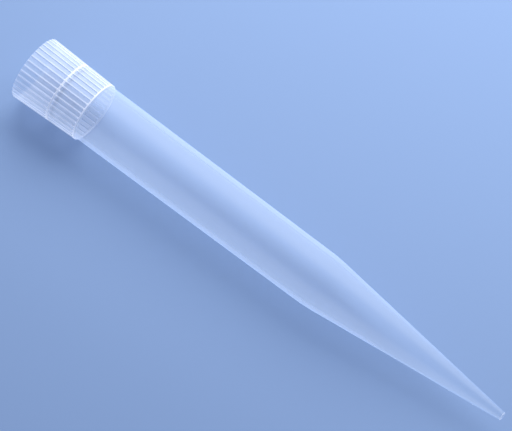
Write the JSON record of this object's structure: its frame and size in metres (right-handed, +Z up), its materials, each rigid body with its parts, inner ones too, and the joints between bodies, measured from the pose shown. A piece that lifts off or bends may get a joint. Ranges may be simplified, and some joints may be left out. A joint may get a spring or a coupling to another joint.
{
  "type": "pipette tip",
  "caption": "Large-volume pipette tip in translucent plastic: a ribbed push-on collar, a long thin-walled barrel and a straight cone down to a fine orifice.",
  "frame": {"origin": "on the surface the tip lies on, under the middle of its bounding box", "axes": "+X from the mouth to the orifice and +Z up, as the tip lies at rest on its side: its own axis is pitched down by 0.9 degrees towards the orifice, because the mouth is wider than the shoulder"},
  "size_m": [0.1532, 0.0182, 0.0181],
  "materials": {
    "natural_polypropylene": "natural translucent polypropylene, slightly milky, with a smooth moulded surface and a soft gloss"
  },
  "bodies": {
    "root": {"pipette_tip": "natural_polypropylene"}
  },
  "joints": []
}
